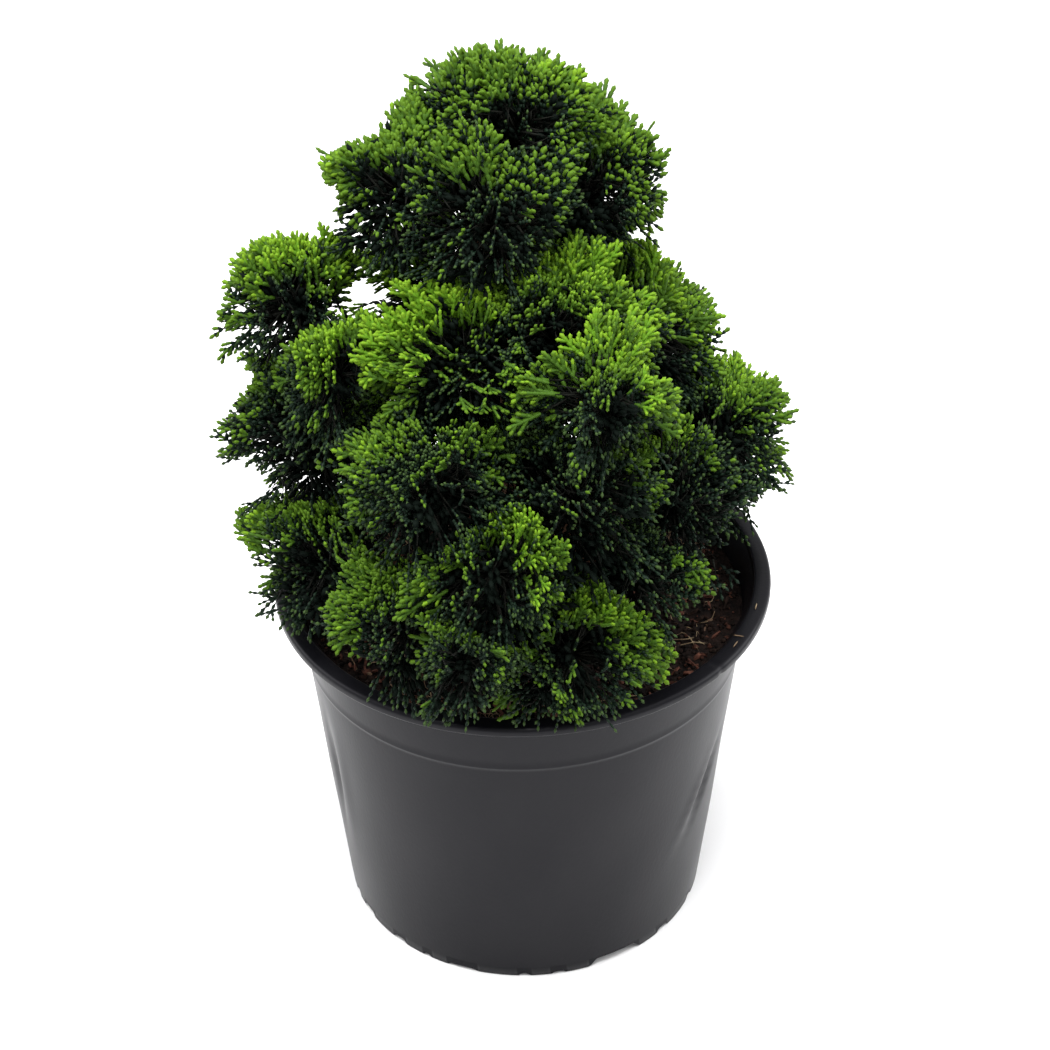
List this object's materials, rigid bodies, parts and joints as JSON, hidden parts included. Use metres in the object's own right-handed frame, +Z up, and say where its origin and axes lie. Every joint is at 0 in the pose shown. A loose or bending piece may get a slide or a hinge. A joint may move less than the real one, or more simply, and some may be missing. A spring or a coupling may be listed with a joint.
{
  "type": "potted dwarf cypress",
  "caption": "Dwarf cypress shrub with dense fan sprays on spreading boughs, growing in a round black nursery pot that stands on its flat underside.",
  "frame": {"origin": "centre of the pot's flat underside, on the ground", "axes": "+Z up the pot's axis, +Y to the back of the plant and +X to its right, seen from the front"},
  "size_m": [0.2078, 0.2217, 0.3591],
  "materials": {
    "pot": "semi-matt black moulded polypropylene, lightly scuffed",
    "soil": "damp peat with bark chips and straw",
    "bark": "thin red-brown fibrous bark",
    "foliage": "satin scale leaves, lime at the tips and blue-green inside"
  },
  "bodies": {
    "root": {"pot": "pot", "soil": "soil", "trunk": "bark", "bough_crown_left": "bark", "bough_crown_front": "bark", "bough_crown_back": "bark", "bough_upper_left": "bark", "bough_left_fan": "bark", "bough_left_side": "bark", "bough_dome_left": "bark", "bough_dome_right": "bark", "bough_dome_fan": "bark", "bough_right_upper": "bark", "bough_right_side": "bark", "bough_left_low": "bark", "bough_front_upper": "bark", "bough_front_mid": "bark", "bough_front_left": "bark", "bough_front_right": "bark", "bough_front_edge": "bark", "bough_right_mid": "bark", "bough_right_foot": "bark", "bough_centre_front": "bark", "bough_back_left_upper": "bark", "bough_back_upper": "bark", "bough_back_right_upper": "bark", "bough_back_left": "bark", "bough_back_low": "bark", "bough_back_right": "bark", "crown_peak": "foliage", "crown_left": "foliage", "crown_right": "foliage", "crown_front": "foliage", "crown_back": "foliage", "upper_left": "foliage", "left_fan": "foliage", "left_side": "foliage", "dome_left": "foliage", "dome_right": "foliage", "dome_fan": "foliage", "right_upper": "foliage", "right_side": "foliage", "left_low": "foliage", "front_upper": "foliage", "front_mid": "foliage", "front_left": "foliage", "front_right": "foliage", "front_edge": "foliage", "right_mid": "foliage", "right_foot": "foliage", "centre_front": "foliage", "heart": "foliage", "heart_back": "foliage", "back_left_upper": "foliage", "back_upper": "foliage", "back_right_upper": "foliage", "back_left": "foliage", "back_low": "foliage", "back_right": "foliage"}
  },
  "joints": []
}
